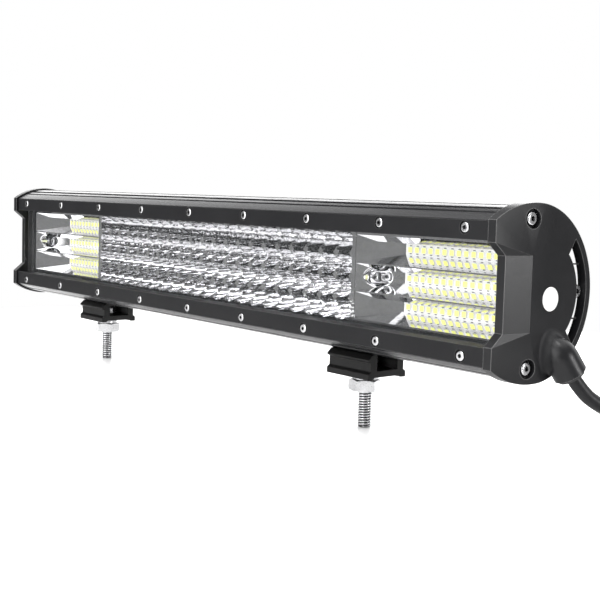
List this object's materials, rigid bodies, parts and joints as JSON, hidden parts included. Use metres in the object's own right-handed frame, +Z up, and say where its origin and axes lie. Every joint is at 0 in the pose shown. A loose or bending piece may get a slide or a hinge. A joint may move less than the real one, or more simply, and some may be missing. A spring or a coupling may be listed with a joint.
{
  "type": "led light bar",
  "caption": "Straight LED light bar: finned housing, reflector optics behind a clear lens, sliding underside brackets with studs, short power cable.",
  "frame": {"origin": "midway between the two mounting studs, on the plane of the nuts' undersides", "axes": "+X along the bar towards the end with the cable, -Y the way it shines, +Z up; the studs point down"},
  "size_m": [0.643, 0.1288, 0.1303],
  "materials": {
    "black_anodised_body": "satin",
    "black_rail": "satin",
    "cast_cap": "satin",
    "black_bracket": "satin",
    "clear_lens": "gloss",
    "silvered_optic": "polished",
    "white_board": "matte",
    "led_phosphor": "satin",
    "seal_rubber": "matte",
    "bright_steel": "satin",
    "zinc_screw": "satin",
    "red_wire": "satin",
    "black_cable": "satin",
    "black_nylon": "satin",
    "white_label": "satin"
  },
  "bodies": {
    "lamp": {"housing": "black_anodised_body", "top_bezel_rail": "black_rail", "bottom_bezel_rail": "black_rail", "top_rail_screws": "zinc_screw", "bottom_rail_screws": "zinc_screw", "lens": "clear_lens", "lens_gasket": "seal_rubber", "center_reflector": "silvered_optic", "left_reflector": "silvered_optic", "right_reflector": "silvered_optic", "center_led_board": "white_board", "left_led_board": "white_board", "right_led_board": "white_board", "center_leds": "led_phosphor", "left_leds": "led_phosphor", "right_leds": "led_phosphor", "reflector_screws": "zinc_screw", "board_links": "red_wire", "left_end_cap": "cast_cap", "right_end_cap": "cast_cap", "left_cap_gasket": "seal_rubber", "right_cap_gasket": "seal_rubber", "left_cap_screws": "bright_steel", "right_cap_screws": "bright_steel", "cable_grommet": "seal_rubber", "power_cable": "black_cable", "power_cable_coil": "black_cable", "power_cable_tail": "black_cable", "cable_tie": "black_nylon", "power_plug": "black_nylon", "supply_lead": "black_cable", "label_disc": "white_label"},
    "left_mount": {"left_bracket": "black_bracket", "left_mount_bolt": "bright_steel", "left_flat_washer": "bright_steel", "left_spring_washer": "bright_steel", "left_mount_nut": "bright_steel"},
    "right_mount": {"right_bracket": "black_bracket", "right_mount_bolt": "bright_steel", "right_flat_washer": "bright_steel", "right_spring_washer": "bright_steel", "right_mount_nut": "bright_steel"}
  },
  "joints": [
    {"name": "left_bracket_slide", "type": "slide", "parent": "lamp", "child": "left_mount", "axis": [1, 0, 0], "range_m": [-0.085, 0.12]},
    {"name": "right_bracket_slide", "type": "slide", "parent": "lamp", "child": "right_mount", "axis": [1, 0, 0], "range_m": [-0.12, 0.085]}
  ]
}
